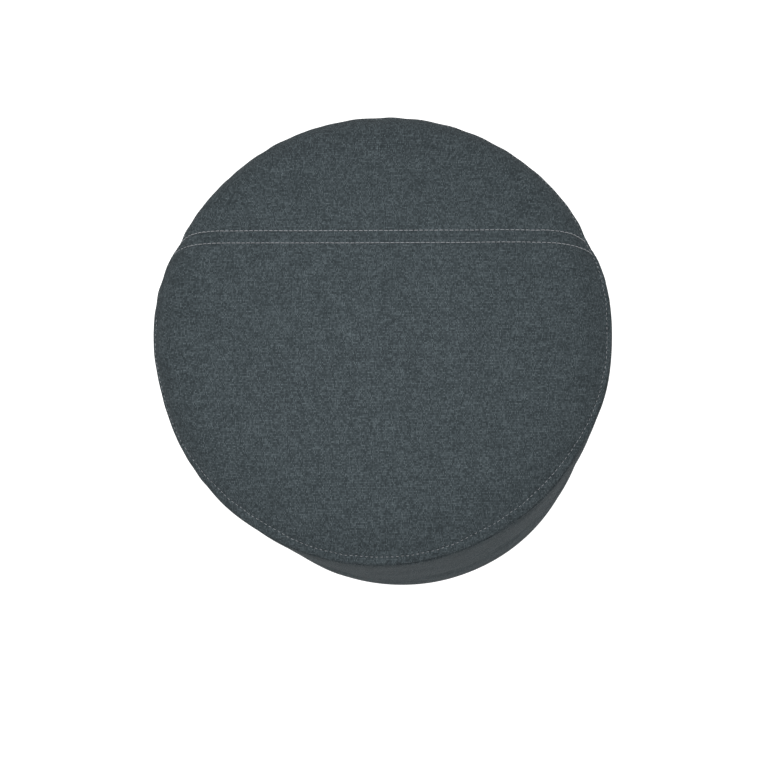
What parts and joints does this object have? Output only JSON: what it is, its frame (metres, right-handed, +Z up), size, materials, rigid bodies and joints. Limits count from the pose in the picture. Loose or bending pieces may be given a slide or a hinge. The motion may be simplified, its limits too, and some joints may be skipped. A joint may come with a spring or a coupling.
{
  "type": "floor cushion",
  "caption": "Round drum-shaped floor cushion in dark grey woven cloth, with a seamed, topstitched top, a zip round the lower rear, and a lined foam core.",
  "frame": {"origin": "middle of the flat base, on the floor", "axes": "+Z up along the drum's axis; +X along the top seam, to the right seen from the front; +Y to the rear, where the short top panel and the zip are"},
  "size_m": [0.5, 0.5, 0.3511],
  "materials": {
    "woven_cover": "matt plain weave, dark slate grey",
    "base_cloth": "matt close weave, near black",
    "topstitch_thread": "spun polyester thread, light grey",
    "zip_tape": "woven zip tape, dark grey",
    "zip_coil": "moulded coil, satin",
    "zip_metal": "gunmetal, satin",
    "lining_cloth": "unbleached plain weave",
    "fibre_wadding": "needled polyester fibre, matt",
    "soft_foam": "open-cell polyurethane foam, matt",
    "firm_foam": "open-cell polyurethane foam, matt"
  },
  "bodies": {
    "cushion": {"top_panel_front": "woven_cover", "top_panel_rear": "woven_cover", "side_band_front": "woven_cover", "side_band_rear": "woven_cover", "zip_band_lower": "woven_cover", "bottom_panel": "base_cloth", "rim_topstitch": "topstitch_thread", "top_seam_topstitch_front": "topstitch_thread", "top_seam_topstitch_rear": "topstitch_thread", "side_seam_topstitch_left_front": "topstitch_thread", "side_seam_topstitch_left_rear": "topstitch_thread", "side_seam_topstitch_right_front": "topstitch_thread", "side_seam_topstitch_right_rear": "topstitch_thread", "zip_topstitch_upper": "topstitch_thread", "zip_topstitch_lower": "topstitch_thread", "zip_tape_upper": "zip_tape", "zip_tape_lower": "zip_tape", "zip_chain_upper": "zip_coil", "zip_chain_lower": "zip_coil", "zip_stop_closed_end": "zip_metal", "zip_stop_open_end": "zip_metal", "lining_top": "lining_cloth", "lining_side": "lining_cloth", "lining_bottom": "lining_cloth", "wadding_top": "fibre_wadding", "wadding_side": "fibre_wadding", "foam_comfort_layer": "soft_foam", "foam_core_upper": "firm_foam", "foam_core_lower": "firm_foam"},
    "zip_slider": {"zip_slider": "zip_metal"},
    "zip_puller": {"zip_puller": "zip_metal"}
  },
  "joints": [
    {"name": "zip_slide", "type": "hinge", "parent": "cushion", "child": "zip_slider", "pos_m": [0, 0, 0.03], "axis": [0, 0, -1], "range_deg": [0, 122]},
    {"name": "puller_turn", "type": "hinge", "parent": "zip_slider", "child": "zip_puller", "pos_m": [-0.21597, 0.11948, 0.03], "axis": [0, 0, 1], "range_deg": [0, 170]}
  ]
}
